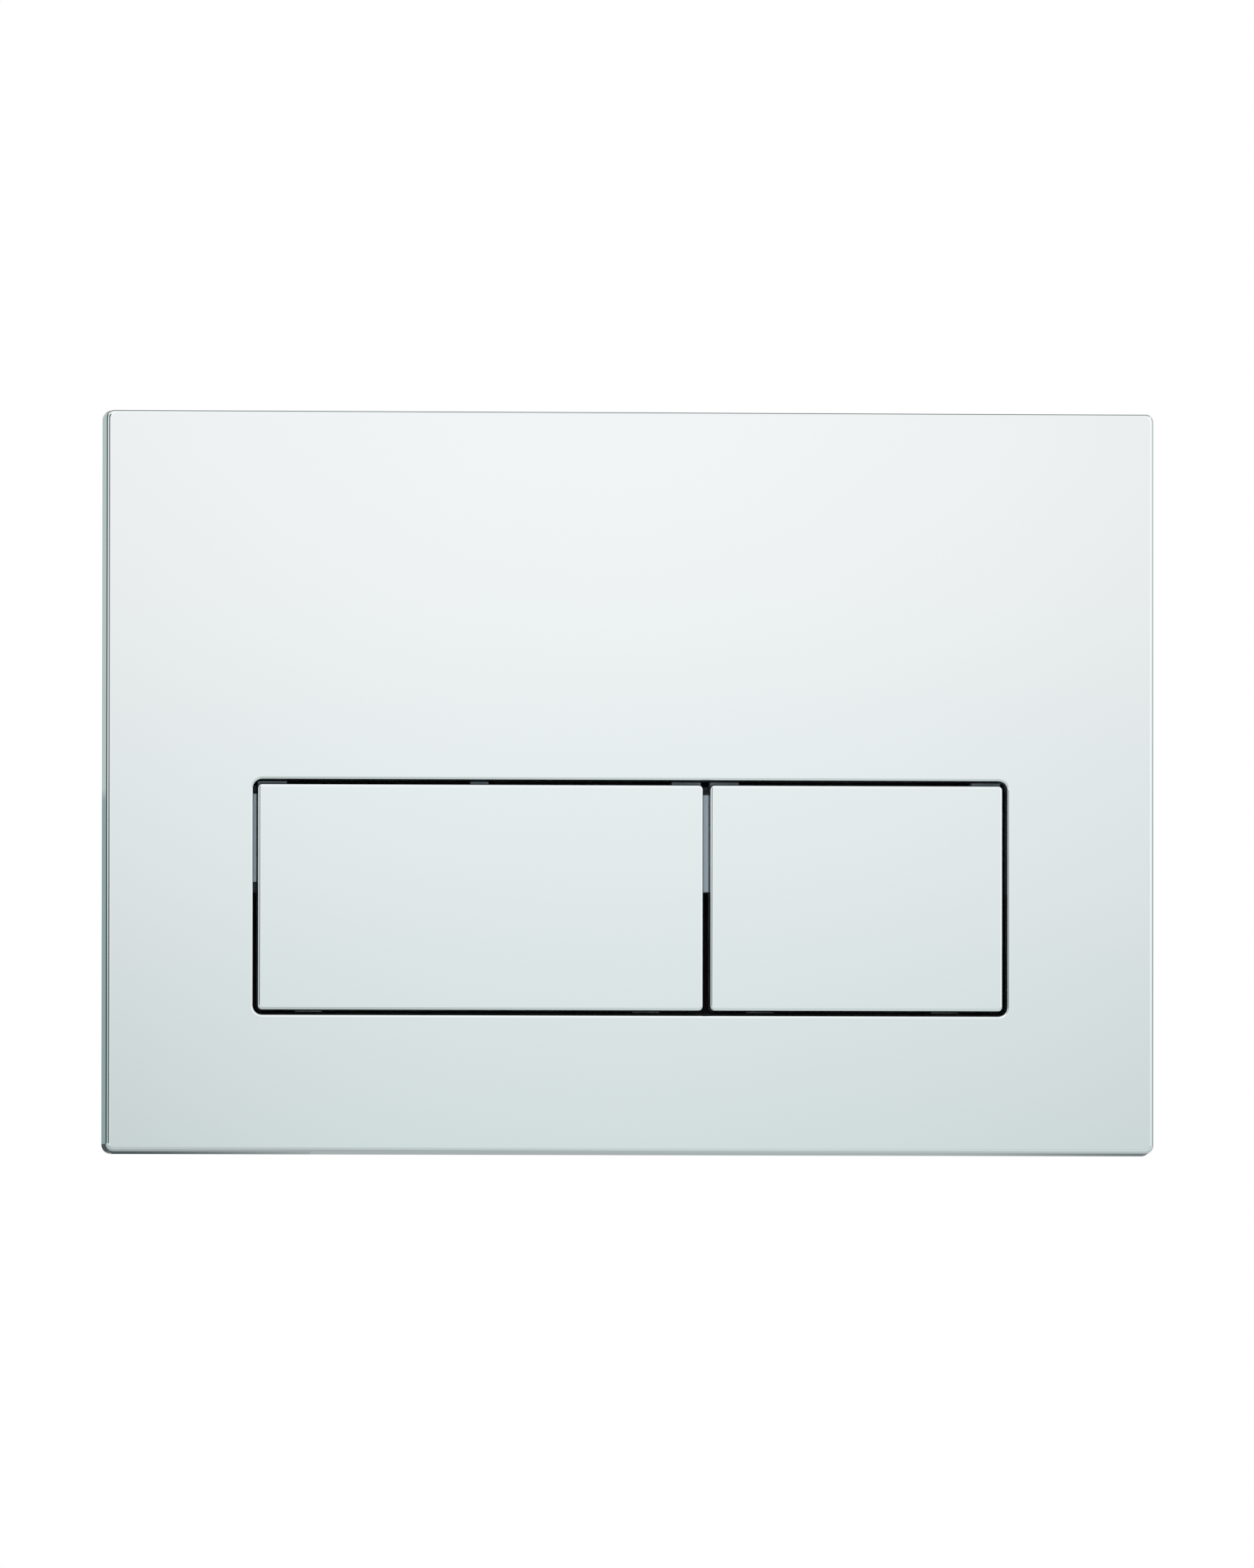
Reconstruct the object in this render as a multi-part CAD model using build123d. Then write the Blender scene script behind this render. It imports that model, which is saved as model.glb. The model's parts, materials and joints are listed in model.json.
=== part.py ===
from build123d import *
import math
import os

os.makedirs("parts", exist_ok=True)

# A two-button flush plate for a concealed cistern, in millimetres.
# X runs right, Y runs into the wall and Z runs up.
# The origin is on the finished wall, behind the centre of the plate.

# Cover plate
plate_width = 234.0
plate_height = 165.0
plate_depth = 12.0
plate_skin = 2.4
plate_wall = 2.2
plate_draft = 2.1
plate_corner_radius = 1.7
plate_edge_radius = 0.9
plate_inner_radius = 1.5

# Button opening in the cover
opening_width = 168.5
opening_height = 52.4
opening_drop = 25.8
opening_corner_radius = 2.0
opening_edge_radius = 0.55
rim_wall = 1.8
rim_depth = 7.8

# Stiffening ribs behind the blank upper half
rib_thickness = 1.4
rib_height = 2.2
rib_pitch = 30.0
upright_rib_count = 5
cross_rib_count = 2
rib_field_height = 56.0
rib_field_lift = 14.0

# Buttons
full_button_width = 99.5
button_gap = 1.0
button_split = 1.5
button_skin = 2.4
button_wall = 1.8
button_depth = 7.0
button_top_depth = 4.0
button_corner_radius = 1.0
button_edge_radius = 0.65
button_rib_thickness = 1.2
button_rib_height = 2.0
button_rib_pitch = 15.0

# Hinge along the top edge of each button
hinge_setback = 7.0
hinge_inset = 4.0
pin_radius = 1.25
pin_running_clearance = 0.05
pin_seat_clearance = 0.02
pin_overhang = 0.6
eye_radius = 2.6
eye_width = 5.0
eye_inset = 9.5
lug_radius = 2.6
lug_width = 4.0
lug_side_gap = 0.3
crest_setback = 4.5
crest_top_gap = 0.3
crest_end_gap = 0.3
crest_skirt_gap = 0.3

# Hinge rail behind the upper half of the buttons
rail_thickness = 2.0
rail_flange_gap = 0.2
rail_top_gap = 0.1
rail_height = 23.7
rail_end_gap = 0.15
rail_flange_height = 3.0
rail_post_radius = 3.2
rail_post_drop = 11.2
rail_post_pitch = 49.0
rail_post_count = 4
fin_setback = 3.0
fin_side_gap = 0.15
fin_top_drop = 3.2
end_fin_lift = 2.0

# Housing behind the opening
flange_margin = 0.4
flange_thickness = 2.5
flange_corner_radius = 4.0
flange_side_relief = 0.6
flange_stop_lip = 0.5
well_clearance = 2.2
well_depth = 10.7
well_corner_radius = 3.0
housing_wall = 1.8
housing_floor = 2.0
gusset_thickness = 1.6
gusset_reach = 6.0
gusset_pitch = 36.0
gusset_count = 4

# Push rods, their heads, sleeves and lock nuts
rod_drop = 35.4
rod_radius = 3.0
rod_running_clearance = 0.06
rod_thread_clearance = 0.02
rod_reach = 58.0
rod_end_radius = 2.6
rod_end_length = 26.0
rod_tip_chamfer = 1.0
rod_socket_depth = 2.0
rod_head_radius = 5.6
rod_head_thickness = 3.4
rod_dome_radius = 14.0
tappet_radius = 5.0
tappet_setback = 1.0
tappet_gap = 0.05
tappet_web = 1.4
tappet_web_span = 20.0
sleeve_radius = 5.2
sleeve_length = 10.0
spigot_radius = 3.9
spigot_height = 1.5
lock_nut_across_flats = 10.0
lock_nut_thickness = 4.5
lock_nut_gap = 0.4

# Return springs
spring_wire = 0.8
spring_wire_sides = 6
spring_radius = 4.6
spring_turns = 4.0
spring_end_gap = 0.05

# Stop hooks on the buttons and the pads that they rest against
hook_width = 6.0
hook_thickness = 1.6
hook_lip_gap = 0.65
hook_catch = 2.3
hook_tip = 1.8
hook_inset = 12.0
pad_width = 9.0
pad_height = 2.0
pad_thickness = 1.1
pad_lift = 0.35
pad_gap = 0.1

# Thread-forming screws
screw_radius = 1.4
screw_seat_clearance = 0.02
screw_clearance = 0.2
screw_head_radius = 2.8
screw_head_height = 2.0
screw_head_edge = 0.6
screw_tip_gap = 0.5
boss_radius = 3.2
boss_head_gap = 0.6
boss_pitch = 72.0
boss_count = 3
pilot_floor = 0.6
rail_screw_bite = 7.0

# Mounting frame
frame_gap = 1.4
frame_base = 2.4
frame_corner_radius = 3.0
frame_wall = 1.8
frame_wall_height = 3.6
frame_web = 1.4
frame_web_height = 2.0
frame_web_pitch = 28.0
upright_web_count = 7
cross_web_count = 5
window_margin = 1.75
window_top = 65.0
window_corner_radius = 4.0

# Distance bolts, their ears and clamp nuts
bolt_nut_wall_gap = 2.0
bolt_height = 32.0
bolt_radius = 4.0
bolt_end_radius = 3.6
bolt_reach = 48.0
bolt_end_length = 40.0
bolt_tip_chamfer = 1.0
bolt_head_radius = 8.0
bolt_head_thickness = 3.6
bolt_head_edge = 1.0
bolt_slot_width = 1.6
bolt_slot_depth = 1.8
ear_height = 26.0
ear_overhang = 5.0
ear_thickness = 3.0
ear_setback = 2.0
ear_corner_radius = 3.0
slot_travel = 6.0
slot_clearance = 0.3
clamp_nut_radius = 9.0
clamp_nut_thickness = 6.0
clamp_nut_clearance = 0.05
clamp_nut_scallop_count = 10
clamp_nut_scallop_radius = 1.5

# Snap latches that hold the cover on the frame, and ribs that centre it
latch_width = 18.0
latch_thickness = 1.6
latch_height = 5.0
latch_barb = 1.5
latch_barb_length = 1.7
latch_inset = 0.5
latch_spacing = 120.0
latch_play = 0.3
ledge_width = 22.0
ledge_thickness = 1.4
centring_rib_thickness = 1.4
centring_rib_spacing = 80.0
centring_play = 0.3
centring_rib_setback = 0.8

# Planes and lines that the pieces share
draft_rise = math.tan(math.radians(plate_draft))
front = -plate_depth
skin_back = front + plate_skin
opening_top = -opening_drop + opening_height / 2
opening_bottom = -opening_drop - opening_height / 2
opening_centre = (0.0, -opening_drop)

button_height = opening_height - 2 * button_gap
button_top = opening_top - button_gap
button_bottom = opening_bottom + button_gap
full_left = -opening_width / 2 + button_gap
full_right = full_left + full_button_width
half_left = full_right + button_split
half_right = opening_width / 2 - button_gap
button_back = front + button_skin
skirt_back = front + button_depth

pivot_y = front + hinge_setback
pivot_z = button_top - hinge_inset

boss_offset = well_clearance + housing_wall + screw_head_radius + boss_head_gap
flange_width = boss_offset + boss_radius + flange_margin
seat_y = front + rim_depth
flange_back = seat_y + flange_thickness
floor_front = flange_back + well_depth
floor_back = floor_front + housing_floor
sleeve_back = floor_back + sleeve_length

rail_front = flange_back + rail_flange_gap
rail_back = rail_front + rail_thickness
rail_top = button_top - rail_top_gap
rail_bottom = rail_top - rail_height
crest_top = opening_top - crest_top_gap
crest_bottom = button_top - button_wall + crest_skirt_gap
lip_top = opening_bottom + flange_stop_lip

rod_z = pivot_z - rod_drop
tappet_back = pivot_y + tappet_setback
rod_head_front = tappet_back + tappet_gap
rod_head_back = rod_head_front + rod_head_thickness

inner_half_width = plate_width / 2 - plate_wall + plate_skin * draft_rise
inner_half_height = plate_height / 2 - plate_wall + plate_skin * draft_rise
frame_half_width = inner_half_width - frame_gap
frame_half_height = inner_half_height - frame_gap
frame_front = -frame_base
frame_wall_front = frame_front - frame_wall_height
window_half_width = opening_width / 2 + flange_width + window_margin
window_bottom = opening_bottom - flange_width - window_margin
window_height = window_top - window_bottom
window_centre = (0.0, (window_top + window_bottom) / 2)

bolt_offset = window_half_width - clamp_nut_radius - bolt_nut_wall_gap
ear_back = -ear_setback
ear_front = ear_back - ear_thickness
latch_tip = frame_front - latch_height


def spread(count, pitch):
    """Positions of a row of equal steps about zero."""
    return [pitch * (i - (count - 1) / 2) for i in range(count)]


def slab(width, height, y_front, y_back, centre=(0.0, 0.0), radius=0.0):
    """A plate standing across Y, with rounded corners if a radius is given."""
    outline = RectangleRounded(width, height, radius) if radius else Rectangle(width, height)
    plane = Plane.XZ.offset(-y_back)
    return extrude(plane * Pos(*centre) * outline, amount=y_back - y_front)


def block(x_range, y_range, z_range):
    """A box given by its two limits along each axis."""
    width = x_range[1] - x_range[0]
    height = z_range[1] - z_range[0]
    centre = (sum(x_range) / 2, sum(z_range) / 2)
    return slab(width, height, y_range[0], y_range[1], centre)


def shaft(radius, y_front, y_back, x=0.0, z=0.0):
    """A round bar along Y."""
    plane = Plane.XZ.offset(-y_back)
    return extrude(plane * Pos(x, z) * Circle(radius), amount=y_back - y_front)


def cross_bar(radius, x_left, x_right, y, z):
    """A round bar along X."""
    return extrude(Plane.YZ.offset(x_left) * Pos(y, z) * Circle(radius), amount=x_right - x_left)


def front_edges(shape):
    """The edges on the foremost plane of a shape."""
    return shape.edges().group_by(Axis.Y)[0]


def back_edges(shape):
    """The edges on the rearmost plane of a shape."""
    return shape.edges().group_by(Axis.Y)[-1]


def boss_places():
    """Centres of the screw bosses, in a row above and a row below the opening."""
    rows = (opening_top + boss_offset, opening_bottom - boss_offset)
    return [(x, z) for x in spread(boss_count, boss_pitch) for z in rows]


def latch_places():
    """Centre and outward direction of each snap latch."""
    return [(x, side) for x in spread(2, latch_spacing) for side in (1, -1)]


def tapered_shell(inset, corner_radius, y_front):
    """The drafted form of the cover from the wall forward, inset from its outside."""
    width = plate_width + 2 * plate_depth * draft_rise - 2 * inset
    height = plate_height + 2 * plate_depth * draft_rise - 2 * inset
    outline = Plane.XZ * RectangleRounded(width, height, corner_radius)
    return extrude(outline, amount=-y_front, taper=plate_draft)


def cover_plate():
    rear_corner_radius = plate_corner_radius + plate_depth * draft_rise
    cover = tapered_shell(0.0, rear_corner_radius, front)
    cover = fillet(front_edges(cover), plate_edge_radius)
    opening = slab(opening_width, opening_height, front, 0.0, opening_centre, opening_corner_radius)
    cover -= opening
    mouth = front_edges(cover).filter_by(
        lambda edge: abs(edge.center().X) < opening_width / 2 + button_gap
        and abs(edge.center().Z + opening_drop) < opening_height / 2 + button_gap
    )
    cover = fillet(mouth, opening_edge_radius)
    hollow = tapered_shell(plate_wall, plate_inner_radius, skin_back)
    rim = slab(
        opening_width + 2 * rim_wall,
        opening_height + 2 * rim_wall,
        skin_back,
        seat_y,
        opening_centre,
        opening_corner_radius + rim_wall,
    )
    cover = cover - hollow + (rim - opening)

    for x, z in boss_places():
        cover += shaft(boss_radius, skin_back, seat_y, x, z)
        cover -= shaft(screw_radius + screw_seat_clearance, skin_back + pilot_floor, seat_y, x, z)

    field_bottom = opening_top + rib_field_lift
    field_top = field_bottom + rib_field_height
    field_half_width = rib_pitch * upright_rib_count / 2
    rib_back = skin_back + rib_height
    for x in spread(upright_rib_count, rib_pitch):
        half = rib_thickness / 2
        cover += block((x - half, x + half), (skin_back, rib_back), (field_bottom, field_top))
    cross_pitch = rib_field_height / cross_rib_count
    for step in spread(cross_rib_count, cross_pitch):
        z = (field_bottom + field_top) / 2 + step
        cover += block(
            (-field_half_width, field_half_width),
            (skin_back, rib_back),
            (z - rib_thickness / 2, z + rib_thickness / 2),
        )

    ledge_front = latch_tip + latch_barb_length + latch_play
    for x, side in latch_places():
        inner = frame_half_height - latch_inset + latch_play
        outer = inner_half_height + plate_wall / 2
        cover += block(
            (x - ledge_width / 2, x + ledge_width / 2),
            (ledge_front, ledge_front + ledge_thickness),
            sorted((side * inner, side * outer)),
        )
    for z in spread(2, centring_rib_spacing):
        for side in (1, -1):
            inner = frame_half_width + centring_play
            outer = inner_half_width + plate_wall / 2
            cover += block(
                sorted((side * inner, side * outer)),
                (skin_back, -centring_rib_setback),
                (z - centring_rib_thickness / 2, z + centring_rib_thickness / 2),
            )
    return cover


def eye_places(left, right):
    """Centres of a button's two hinge eyes along X."""
    return (left + eye_inset, right - eye_inset)


def hook_places(left, right):
    """Centres of a button's two stop hooks along X."""
    return (left + hook_inset, right - hook_inset)


def flush_button(left, right):
    width = right - left
    centre_x = (left + right) / 2
    centre = (centre_x, -opening_drop)
    button = slab(width, button_height, front, skirt_back, centre, button_corner_radius)
    button = fillet(front_edges(button), button_edge_radius)
    hollow_width = width - 2 * button_wall
    hollow_height = button_height - 2 * button_wall
    button -= slab(hollow_width, hollow_height, button_back, skirt_back, centre)
    top_skirt_back = front + button_top_depth
    button -= block((left, right), (top_skirt_back, skirt_back), (button_top - button_wall, button_top))

    rib_back = button_back + button_rib_height
    rib_top = pivot_z - hinge_inset
    rib_bottom = button_bottom + button_wall
    half_rib = button_rib_thickness / 2
    rib_count = int(hollow_width / button_rib_pitch)
    for step in spread(rib_count, button_rib_pitch):
        x = centre_x + step
        button += block((x - half_rib, x + half_rib), (button_back, rib_back), (rib_bottom, rib_top))
    inside = (left + button_wall, right - button_wall)
    button += block(inside, (button_back, rib_back), (rod_z - half_rib, rod_z + half_rib))

    web_back = (rib_back + tappet_back) / 2
    half_web = tappet_web / 2
    half_span = tappet_web_span / 2
    button += block(
        (centre_x - half_span, centre_x + half_span),
        (button_back, web_back),
        (rod_z - half_web, rod_z + half_web),
    )
    button += shaft(tappet_radius, button_back, tappet_back, centre_x, rod_z)

    for x in eye_places(left, right):
        half = eye_width / 2
        button += block(
            (x - half, x + half),
            (button_back, pivot_y),
            (pivot_z - eye_radius, pivot_z + eye_radius),
        )
        button += cross_bar(eye_radius, x - half, x + half, pivot_y, pivot_z)
        button -= cross_bar(pin_radius + pin_running_clearance, x - half, x + half, pivot_y, pivot_z)

    catch_front = flange_back + pad_thickness + pad_gap
    stem_bottom = lip_top + hook_lip_gap
    for x in hook_places(left, right):
        half = hook_width / 2
        button += block(
            (x - half, x + half),
            (button_back, catch_front + hook_tip),
            (stem_bottom, stem_bottom + hook_thickness),
        )
        barb = Polyline(
            (catch_front, stem_bottom),
            (catch_front, stem_bottom - hook_catch),
            (catch_front + hook_tip / 2, stem_bottom - hook_catch),
            (catch_front + hook_tip, stem_bottom),
            close=True,
        )
        button += extrude(Plane.YZ.offset(x - half) * make_face(barb), amount=hook_width)
    return button


def lug_places(left, right):
    """Centres of the rail's lugs along X: beside each hinge eye, and midway on the wider button's pin."""
    step = eye_width / 2 + lug_side_gap + lug_width / 2
    places = [x + side * step for x in eye_places(left, right) for side in (-1, 1)]
    if right - left > opening_width / 2:
        places.insert(2, (left + right) / 2)
    return places


def crest_spans(left, right):
    """Limits along X of the crests on the end lugs, which reach out to the corners, and on a middle lug."""
    lugs = lug_places(left, right)
    half = lug_width / 2
    ends = [(left + crest_end_gap, lugs[0] + half), (lugs[-1] - half, right - crest_end_gap)]
    return ends + [(x - half, x + half) for x in lugs[2:-2]]


def hinge_pin(left, right):
    lugs = lug_places(left, right)
    reach = lug_width / 2 + pin_overhang
    return cross_bar(pin_radius, lugs[0] - reach, lugs[-1] + reach, pivot_y, pivot_z)


def rail_post_places():
    """Centres of the posts that stand the rail off the housing floor."""
    return [(x, rail_top - rail_post_drop) for x in spread(rail_post_count, rail_post_pitch)]


def hinge_rail():
    half_length = opening_width / 2 - rail_end_gap
    rail = block((-half_length, half_length), (rail_front, rail_back), (rail_bottom, rail_top))
    flange_z = (rail_bottom, rail_bottom + rail_thickness)
    rail += block((-half_length, half_length), (rail_back, rail_back + rail_flange_height), flange_z)
    for left, right in ((full_left, full_right), (half_left, half_right)):
        for x in lug_places(left, right):
            half = lug_width / 2
            rail += block(
                (x - half, x + half),
                (pivot_y, rail_front),
                (pivot_z - lug_radius, pivot_z + lug_radius),
            )
            rail += cross_bar(lug_radius, x - half, x + half, pivot_y, pivot_z)
            rail -= cross_bar(pin_radius + pin_seat_clearance, x - half, x + half, pivot_y, pivot_z)
        for span in crest_spans(left, right):
            rail += block(span, (front + crest_setback, rail_front), (crest_bottom, crest_top))

    fin_top = opening_top - fin_top_drop
    end_fin = (-opening_width / 2, full_left, rail_bottom + end_fin_lift)
    middle_fin = (full_right, half_left, rail_bottom)
    for gap_left, gap_right, fin_bottom in (end_fin, middle_fin):
        rail += block(
            (gap_left + fin_side_gap, gap_right - fin_side_gap),
            (front + fin_setback, rail_front),
            (fin_bottom, fin_top),
        )
    for x, z in rail_post_places():
        rail += shaft(rail_post_radius, rail_back, floor_front, x, z)
        pilot_front = floor_back - rail_screw_bite - screw_tip_gap
        rail -= shaft(screw_radius + screw_seat_clearance, pilot_front, floor_front, x, z)
    return rail


def rod_places():
    """X of each push rod: the middle of its button."""
    return ((full_left + full_right) / 2, (half_left + half_right) / 2)


def button_housing():
    flange = slab(
        opening_width + 2 * flange_width,
        opening_height + 2 * flange_width,
        seat_y,
        flange_back,
        opening_centre,
        flange_corner_radius,
    )
    window_sides = (-opening_width / 2 - flange_side_relief, opening_width / 2 + flange_side_relief)
    window_z = (lip_top, opening_top + flange_side_relief)
    housing = flange - block(window_sides, (seat_y, flange_back), window_z)

    well_width = opening_width + 2 * well_clearance
    well_height = opening_height + 2 * well_clearance
    tub = slab(
        well_width + 2 * housing_wall,
        well_height + 2 * housing_wall,
        flange_back,
        floor_back,
        opening_centre,
        well_corner_radius + housing_wall,
    )
    tub = fillet(back_edges(tub), housing_wall / 2)
    tub -= slab(well_width, well_height, flange_back, floor_front, opening_centre, well_corner_radius)
    housing += tub

    gusset_back = flange_back + gusset_reach
    for x in spread(gusset_count, gusset_pitch):
        for side in (1, -1):
            wall_z = -opening_drop + side * (well_height / 2 + housing_wall)
            rim_z = -opening_drop + side * (opening_height / 2 + flange_width)
            corner = Polyline(
                (flange_back, wall_z),
                (flange_back, rim_z),
                (gusset_back, wall_z),
                close=True,
            )
            plane = Plane.YZ.offset(x - gusset_thickness / 2)
            housing += extrude(plane * make_face(corner), amount=gusset_thickness)

    for x in rod_places():
        housing += shaft(sleeve_radius, floor_back, sleeve_back, x, rod_z)
        housing += shaft(spigot_radius, floor_front - spigot_height, floor_front, x, rod_z)
        bore = rod_radius + rod_running_clearance
        housing -= shaft(bore, floor_front - spigot_height, sleeve_back, x, rod_z)
    for x, z in boss_places():
        housing -= shaft(screw_radius + screw_clearance, seat_y, flange_back, x, z)
    for x, z in rail_post_places():
        housing -= shaft(screw_radius + screw_clearance, floor_front, floor_back, x, z)
    return housing


def screw(x, z, head_seat, tip):
    """A pan-head screw driven forward, with the underside of its head at head_seat."""
    head = shaft(screw_head_radius, head_seat, head_seat + screw_head_height, x, z)
    head = chamfer(back_edges(head), screw_head_edge)
    return head + shaft(screw_radius, tip, head_seat, x, z)


def housing_screws():
    tip = skin_back + pilot_floor + screw_tip_gap
    return [screw(x, z, flange_back, tip) for x, z in boss_places()]


def rail_screws():
    return [screw(x, z, floor_back, floor_back - rail_screw_bite) for x, z in rail_post_places()]


def stop_pads(left, right):
    pad_z = lip_top + pad_lift - pad_height / 2
    pads = []
    for x in hook_places(left, right):
        pads.append(slab(pad_width, pad_height, flange_back, flange_back + pad_thickness, (x, pad_z)))
    return pads


def rod_head(x):
    head = shaft(rod_head_radius, rod_head_front, rod_head_back, x, rod_z)
    dome_centre = rod_head_front + rod_dome_radius
    head &= Pos(x, dome_centre, rod_z) * Sphere(rod_dome_radius)
    socket_front = rod_head_back - rod_socket_depth
    return head - shaft(rod_radius + rod_thread_clearance, socket_front, rod_head_back, x, rod_z)


def push_rod(x):
    end_front = rod_reach - rod_end_length
    end = shaft(rod_end_radius, end_front, rod_reach, x, rod_z)
    end = chamfer(back_edges(end), rod_tip_chamfer)
    return end + shaft(rod_radius, rod_head_back - rod_socket_depth, end_front, x, rod_z)


def lock_nut(x):
    nut_front = sleeve_back + lock_nut_gap
    nut_back = nut_front + lock_nut_thickness
    hexagon = RegularPolygon(lock_nut_across_flats / 2, 6, major_radius=False)
    nut = extrude(Plane.XZ.offset(-nut_back) * Pos(x, rod_z) * hexagon, amount=lock_nut_thickness)
    return nut - shaft(rod_radius + rod_thread_clearance, nut_front, nut_back, x, rod_z)


def rod_spring(x):
    start = rod_head_back + spring_end_gap + spring_wire / 2
    length = floor_front - spring_end_gap - spring_wire / 2 - start
    coil = Helix(length / spring_turns, length, spring_radius, (x, start, rod_z), (0, 1, 0))
    section = Plane(origin=coil @ 0, z_dir=coil % 0) * RegularPolygon(spring_wire / 2, spring_wire_sides)
    return sweep(section, path=coil, is_frenet=True)


def mounting_frame():
    frame = slab(2 * frame_half_width, 2 * frame_half_height, frame_front, 0.0, radius=frame_corner_radius)
    frame += slab(
        2 * (window_half_width + frame_wall),
        window_height + 2 * frame_wall,
        frame_wall_front,
        frame_front,
        window_centre,
        window_corner_radius + frame_wall,
    )
    web_front = frame_front - frame_web_height
    half_web = frame_web / 2
    web_depth = (web_front, frame_front)
    web_half_height = frame_half_height - latch_inset - latch_thickness
    for x in spread(upright_web_count, frame_web_pitch):
        frame += block((x - half_web, x + half_web), web_depth, (-web_half_height, web_half_height))
    web_half_width = frame_half_width - latch_inset
    for z in spread(cross_web_count, frame_web_pitch):
        frame += block((-web_half_width, web_half_width), web_depth, (z - half_web, z + half_web))
    frame -= slab(
        2 * window_half_width,
        window_height,
        frame_wall_front,
        0.0,
        window_centre,
        window_corner_radius,
    )

    for side in (1, -1):
        ear_tip = bolt_offset - bolt_radius - slot_travel / 2 - ear_overhang
        ear_root = window_half_width + frame_wall / 2
        ear_width = ear_root - ear_tip
        ear_centre = (side * (ear_root + ear_tip) / 2, bolt_height)
        ear = slab(ear_width, ear_height, ear_front, ear_back, ear_centre)
        inner_corners = ear.edges().filter_by(Axis.Y).group_by(Axis.X)[0 if side > 0 else -1]
        frame += fillet(inner_corners, ear_corner_radius)
        hole = SlotCenterToCenter(slot_travel, 2 * (bolt_radius + slot_clearance))
        plane = Plane.XZ.offset(-ear_back)
        frame -= extrude(plane * Pos(side * bolt_offset, bolt_height) * hole, amount=ear_thickness)

    for x, side in latch_places():
        outer = side * (frame_half_height - latch_inset)
        inner = outer - side * latch_thickness
        tongue = Polyline(
            (frame_front, inner),
            (latch_tip, inner),
            (latch_tip, outer),
            (latch_tip + latch_barb_length, outer + side * latch_barb),
            (latch_tip + latch_barb_length, outer),
            (frame_front, outer),
            close=True,
        )
        plane = Plane.YZ.offset(x - latch_width / 2)
        frame += extrude(plane * make_face(tongue), amount=latch_width)
    return frame


def distance_bolt(side):
    x = side * bolt_offset
    head = shaft(bolt_head_radius, ear_front - bolt_head_thickness, ear_front, x, bolt_height)
    head = chamfer(front_edges(head), bolt_head_edge)
    slot_front = ear_front - bolt_head_thickness
    head -= slab(
        2 * bolt_head_radius,
        bolt_slot_width,
        slot_front,
        slot_front + bolt_slot_depth,
        (x, bolt_height),
    )
    end_front = bolt_reach - bolt_end_length
    shank = shaft(bolt_radius, ear_front, end_front, x, bolt_height)
    end = shaft(bolt_end_radius, end_front, bolt_reach, x, bolt_height)
    return head + shank + chamfer(back_edges(end), bolt_tip_chamfer)


def clamp_nut(side):
    x = side * bolt_offset
    nut_back = ear_back + clamp_nut_thickness
    nut = shaft(clamp_nut_radius, ear_back, nut_back, x, bolt_height)
    nut -= shaft(bolt_radius + clamp_nut_clearance, ear_back, nut_back, x, bolt_height)
    for i in range(clamp_nut_scallop_count):
        angle = 2 * math.pi * i / clamp_nut_scallop_count
        scallop_x = x + clamp_nut_radius * math.cos(angle)
        scallop_z = bolt_height + clamp_nut_radius * math.sin(angle)
        nut -= shaft(clamp_nut_scallop_radius, ear_back, nut_back, scallop_x, scallop_z)
    return nut


def save(name, *solids):
    """Write one node, which may hold several separate solids."""
    shape = solids[0] if len(solids) == 1 else Compound(children=list(solids))
    export_step(shape, f"parts/{name}.step")


save("cover_plate", cover_plate())
save("hinge_rail", hinge_rail())
save("rail_screws", *rail_screws())
save("button_housing", button_housing())
save("housing_screws", *housing_screws())
save("mounting_frame", mounting_frame())

buttons = (("full", full_left, full_right), ("half", half_left, half_right))
for name, left, right in buttons:
    rod_x = (left + right) / 2
    save(f"{name}_flush_button", flush_button(left, right))
    save(f"{name}_hinge_pin", hinge_pin(left, right))
    save(f"{name}_stop_pads", *stop_pads(left, right))
    save(f"{name}_rod_head", rod_head(rod_x))
    save(f"{name}_push_rod", push_rod(rod_x))
    save(f"{name}_lock_nut", lock_nut(rod_x))
    save(f"{name}_return_spring", rod_spring(rod_x))

for name, side in (("left", -1), ("right", 1)):
    save(f"{name}_distance_bolt", distance_bolt(side))
    save(f"{name}_clamp_nut", clamp_nut(side))
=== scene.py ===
import bpy
import json
import math
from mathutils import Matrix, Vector


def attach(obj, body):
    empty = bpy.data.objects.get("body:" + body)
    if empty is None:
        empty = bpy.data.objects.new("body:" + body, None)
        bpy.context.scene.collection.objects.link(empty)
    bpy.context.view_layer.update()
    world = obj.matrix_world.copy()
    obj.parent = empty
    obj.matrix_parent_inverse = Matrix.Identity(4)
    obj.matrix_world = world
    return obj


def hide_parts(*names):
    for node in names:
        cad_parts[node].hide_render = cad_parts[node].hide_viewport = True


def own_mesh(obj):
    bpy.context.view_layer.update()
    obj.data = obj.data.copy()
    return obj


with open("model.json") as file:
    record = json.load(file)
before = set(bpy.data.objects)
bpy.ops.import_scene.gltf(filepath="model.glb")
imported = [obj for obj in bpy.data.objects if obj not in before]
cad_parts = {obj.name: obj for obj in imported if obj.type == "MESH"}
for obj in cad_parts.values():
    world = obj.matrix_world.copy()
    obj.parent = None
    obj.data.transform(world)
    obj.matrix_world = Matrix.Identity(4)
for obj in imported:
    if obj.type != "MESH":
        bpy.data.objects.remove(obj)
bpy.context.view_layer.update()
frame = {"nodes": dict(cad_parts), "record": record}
mm = 0.001
print("frame loaded,", len(frame["nodes"]), "nodes")


def metres(lengths):
    return [length * mm for length in lengths]


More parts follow.
